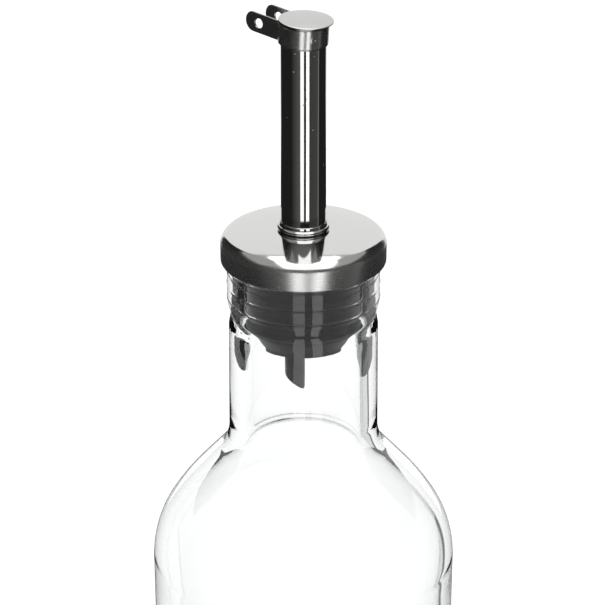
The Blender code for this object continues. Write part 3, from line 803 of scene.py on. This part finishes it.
def outward(piece):
    """Turns every face of a closed piece outwards."""
    cells = bmesh.new()
    cells.from_mesh(piece.data)
    bmesh.ops.recalc_face_normals(cells, faces=cells.faces)
    cells.to_mesh(piece.data)
    cells.free()


def fuse(piece, others):
    """Joins closed pieces into one skin with exact Boolean unions, and keeps the first one's name."""
    outward(piece)
    for other in others:
        outward(other)
        step = piece.modifiers.new("fuse", "BOOLEAN")
        step.operation = "UNION"
        step.object = other
        step.solver = "EXACT"
    bpy.context.view_layer.update()
    whole = bpy.data.meshes.new_from_object(piece.evaluated_get(bpy.context.evaluated_depsgraph_get()))
    piece.modifiers.clear()
    piece.data = whole
    for other in others:
        bpy.data.objects.remove(other)
    whole.shade_smooth()
    whole.set_sharp_from_angle(angle=math.radians(38))


wall_z = np.linspace(sleeve_top - SLEEVE_EDGE, sleeve_base + SLEEVE_CURL, 34)
sleeve_line = np.concatenate([
    [[SLEEVE_RADIUS - SLEEVE_WALL, sleeve_top], [SLEEVE_RADIUS - SLEEVE_EDGE, sleeve_top]],
    np.stack([np.full(34, SLEEVE_RADIUS), wall_z], -1),
    arc((SLEEVE_RADIUS - SLEEVE_CURL, sleeve_base + SLEEVE_CURL), SLEEVE_CURL, 0, -72, 9)[1:],
    [[TUBE_RADIUS - SLEEVE_SLACK, sleeve_base + SLEEVE_SLACK]],
    [[SLEEVE_RADIUS - SLEEVE_WALL - SLEEVE_SLACK, sleeve_base + SLEEVE_CURL]]])
ring = turn(sleeve_line, 256)
angle = np.linspace(0.0, 2 * math.pi, 256, endpoint=False)
on_wall = np.hypot(ring[..., 0], ring[..., 1]) > SLEEVE_RADIUS - SLEEVE_SKIN
for place, share in DIMPLES:
    across = ((angle - place + math.pi) % (2 * math.pi) - math.pi) * SLEEVE_RADIUS
    away = np.hypot(across + 0 * ring[..., 2], ring[..., 2] - sleeve_base - DIMPLE_RISE) / DIMPLE_RADIUS
    ring[..., :2] *= (1 - share * DIMPLE_DEPTH * dimple(away) * on_wall / SLEEVE_RADIUS)[..., None]
sleeve = surface("sleeve_bent_strip", lean(ring), close_rows=True, close_columns=True)

ears = []
for side, word in ((1, "near"), (-1, "far")):
    ears.append(ear_plate(word + "_ear", side))
    ears.append(ear_fold(word + "_fold", side))
fuse(sleeve, ears)
sleeve.data.materials.clear()
sleeve.data.materials.append(stainless(
    "stainless_bent_strip", "#CCCCCA", 0.19, 0.26, (1.111 * MM, 1.111 * MM, 1.111 * MM), 0.06, 0.5))
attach(sleeve, "root")
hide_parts("cap_sleeve")

# Lid: a blanked and slightly crowned steel disc spun on to the sleeve's top, set a little towards the
# front, away from the ears. Its thin rim is rounded over, and its satin face takes the ceiling's grey.
LID_RADIUS = 5.5 * MM
LID_SHIFT = 0.5 * MM
LID_LOW = 51.0 * MM
LID_RIM = 0.22 * MM
LID_CROWN = 0.3 * MM
LID_SEAT = 0.57 * MM
lid_base = DOME_EDGE + LID_LOW

lid_r = np.linspace(0.0, LID_RADIUS - LID_RIM / 2, 30)[:-1]
crown = np.stack([lid_r, lid_base + LID_RIM + LID_CROWN * (1 - (lid_r / LID_RADIUS) ** 2)], -1)
rim = arc((LID_RADIUS - LID_RIM / 2, lid_base + LID_RIM / 2), LID_RIM / 2, 80, -90, 12)
disc = turn(np.concatenate([crown, rim]), 160)
disc[..., :2] -= LID_SHIFT * ears_way
seat_low = lid_base - LID_SEAT
seat = turn(np.array([[SLEEVE_RADIUS, lid_base], [SLEEVE_RADIUS, seat_low], [0.0, seat_low]]), 160)
lid = surface("lid_blanked_disc", lean(np.concatenate([disc, seat])), close_columns=True)
lid.data.materials.append(stainless(
    "stainless_blanked_disc", "#C6C6C4", 0.17, 0.27, (4.545 * MM, 4.545 * MM, 4.545 * MM), 0.08, 0.1))
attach(lid, "root")
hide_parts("lid")
